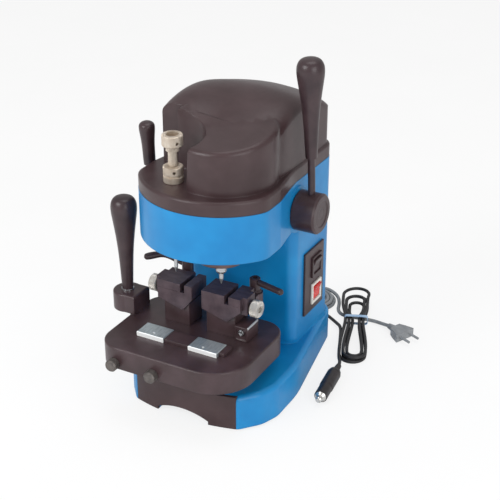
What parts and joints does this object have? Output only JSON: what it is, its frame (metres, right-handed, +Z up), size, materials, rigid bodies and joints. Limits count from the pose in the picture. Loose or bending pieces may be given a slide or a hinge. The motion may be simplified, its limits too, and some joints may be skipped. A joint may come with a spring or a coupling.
{
  "type": "key duplicating machine",
  "caption": "Bench key duplicating machine with cast base and head, moulded cover, feed lever, cutter and tracer over a sliding table with twin vises.",
  "frame": {"origin": "centre of the base on the bench, under the middle of its length", "axes": "+X to the operator's right, +Y to the back, +Z up"},
  "size_m": [0.3596, 0.4854, 0.4896],
  "materials": {
    "blue_paint": "gloss sky-blue enamel on cast metal",
    "black_moulding": "satin black moulded plastic",
    "black_metal": "satin black paint",
    "steel": "bright machined steel",
    "aluminium": "machined aluminium",
    "grip_black": "moulded black grip",
    "rubber": "black rubber",
    "white_plastic": "white moulded plastic",
    "red_plastic": "red rocker",
    "black_cord": "black sheath",
    "grey_cord": "grey sheath",
    "tie": "pale blue tie",
    "brown_metal": "grey-brown cast metal",
    "belt_rubber": "belt"
  },
  "bodies": {
    "frame": {"base_casting": "blue_paint", "base_plate": "black_metal", "black_hank": "black_cord", "black_lead": "black_cord", "black_tail": "black_cord", "car_plug": "black_moulding", "column_head": "blue_paint", "cord_glands": "rubber", "cord_ties": "tie", "front_panel": "black_moulding", "grey_coil": "grey_cord", "grey_lead": "grey_cord", "grey_tail": "grey_cord", "guide_posts": "steel", "mains_plug": "grey_cord", "power_bezel": "white_plastic", "return_springs": "steel", "rubber_feet": "rubber", "selector_bezel": "black_moulding", "switch_plate": "black_metal", "top_cover": "black_moulding", "tracer_collar": "steel", "y_rails": "steel"},
    "feed_lever": {"feed_hub": "black_metal", "feed_rod": "steel", "feed_grip": "grip_black", "pinion_shaft": "steel"},
    "carriage": {"spindle_carriage": "aluminium", "spindle_disc": "brown_metal", "spindle_bearings": "steel", "motor_body": "black_metal", "drive_belt": "belt_rubber"},
    "spindle": {"spindle_shaft": "steel", "collet_nut": "steel", "cutter": "steel"},
    "motor_turning": {"motor_rotor": "steel"},
    "tracer": {"tracer_rod": "steel"},
    "tracer_adjuster": {"tracer_knob": "aluminium"},
    "lock_lever": {"lock_hub": "black_metal", "lock_grip": "grip_black"},
    "power_switch": {"power_rocker": "red_plastic"},
    "selector_switch": {"selector_rocker": "black_moulding"},
    "saddle_slide": {"saddle": "aluminium"},
    "table": {"table_casting": "black_metal", "x_rails": "steel", "handle_stud": "steel", "table_handle": "grip_black", "gauge_blocks": "aluminium", "gauge_strip": "black_metal", "vise_bases": "black_metal", "left_vise_body": "black_metal", "right_vise_body": "black_metal"},
    "left_table_lock": {"left_lock_knob": "aluminium"},
    "front_table_lock": {"front_lock_knob": "aluminium"},
    "left_jaw": {"left_vise_jaw": "black_metal"},
    "right_jaw": {"right_vise_jaw": "black_metal"},
    "left_screw": {"left_vise_knob": "aluminium"},
    "right_screw": {"right_vise_knob": "aluminium"},
    "left_clamp": {"left_vise_lever": "grip_black"},
    "right_clamp": {"right_vise_lever": "grip_black"}
  },
  "joints": [
    {"name": "feed_lever_pull", "type": "hinge", "parent": "frame", "child": "feed_lever", "pos_m": [0.11, 0.012, 0.27], "axis": [1, 0, 0], "range_deg": [0, 65]},
    {"name": "spindle_feed", "type": "slide", "parent": "frame", "child": "carriage", "axis": [0, 0, -1], "range_m": [0, 0.02], "deforming": ["return_springs"]},
    {"name": "spindle_spin", "type": "hinge", "parent": "carriage", "child": "spindle", "pos_m": [0.035, -0.104, 0.3], "axis": [0, 0, 1], "continuous": true},
    {"name": "motor_spin", "type": "hinge", "parent": "carriage", "child": "motor_turning", "pos_m": [0, 0.06, 0.3], "axis": [0, 0, 1], "continuous": true},
    {"name": "tracer_set", "type": "slide", "parent": "carriage", "child": "tracer", "axis": [0, 0, -1], "range_m": [0, 0.002]},
    {"name": "tracer_knob_turn", "type": "hinge", "parent": "carriage", "child": "tracer_adjuster", "pos_m": [-0.035, -0.104, 0.38], "axis": [0, 0, 1], "range_deg": [0, 720]},
    {"name": "lock_lever_swing", "type": "hinge", "parent": "frame", "child": "lock_lever", "pos_m": [-0.11, -0.04, 0.29], "axis": [1, 0, 0], "range_deg": [0, 60]},
    {"name": "power_rocker_tilt", "type": "hinge", "parent": "frame", "child": "power_switch", "pos_m": [0.087, 0.073, 0.116], "axis": [0, 1, 0], "range_deg": [0, 12]},
    {"name": "selector_rocker_tilt", "type": "hinge", "parent": "frame", "child": "selector_switch", "pos_m": [0.087, 0.073, 0.159], "axis": [0, 1, 0], "range_deg": [0, 12]},
    {"name": "saddle_in_out", "type": "slide", "parent": "frame", "child": "saddle_slide", "axis": [0, 1, 0], "range_m": [-0.035, 0.012]},
    {"name": "table_side_to_side", "type": "slide", "parent": "saddle_slide", "child": "table", "axis": [1, 0, 0], "range_m": [-0.02, 0.01]},
    {"name": "left_table_lock_turn", "type": "hinge", "parent": "table", "child": "left_table_lock", "pos_m": [-0.081, -0.194, 0.088], "axis": [0, -1, 0], "range_deg": [0, 180]},
    {"name": "front_table_lock_turn", "type": "hinge", "parent": "table", "child": "front_table_lock", "pos_m": [-0.02, -0.194, 0.088], "axis": [0, -1, 0], "range_deg": [0, 180]},
    {"name": "left_jaw_close", "type": "slide", "parent": "table", "child": "left_jaw", "axis": [1, 0, 0], "range_m": [0, 0.0055]},
    {"name": "right_jaw_close", "type": "slide", "parent": "table", "child": "right_jaw", "axis": [-1, 0, 0], "range_m": [0, 0.0055]},
    {"name": "left_screw_turn", "type": "hinge", "parent": "left_jaw", "child": "left_screw", "pos_m": [-0.08, -0.08, 0.157], "axis": [1, 0, 0], "range_deg": [0, 1584]},
    {"name": "right_screw_turn", "type": "hinge", "parent": "right_jaw", "child": "right_screw", "pos_m": [0.07, -0.08, 0.157], "axis": [-1, 0, 0], "range_deg": [0, 1584]},
    {"name": "left_clamp_swing", "type": "hinge", "parent": "table", "child": "left_clamp", "pos_m": [-0.052, -0.047, 0.17], "axis": [0, 0, 1], "range_deg": [-30, 30]},
    {"name": "right_clamp_swing", "type": "hinge", "parent": "table", "child": "right_clamp", "pos_m": [0.055, -0.047, 0.17], "axis": [0, 0, 1], "range_deg": [-30, 30]}
  ],
  "couplings": [
    {"joint": "spindle_feed", "follows": "feed_lever_pull", "m_per_rad": 0.0176},
    {"joint": "spindle_spin", "follows": "motor_spin", "ratio": 2},
    {"joint": "tracer_knob_turn", "follows": "tracer_set", "rad_per_m": 6283.2},
    {"joint": "left_screw_turn", "follows": "left_jaw_close", "rad_per_m": 5026.5},
    {"joint": "right_screw_turn", "follows": "right_jaw_close", "rad_per_m": 5026.5}
  ]
}
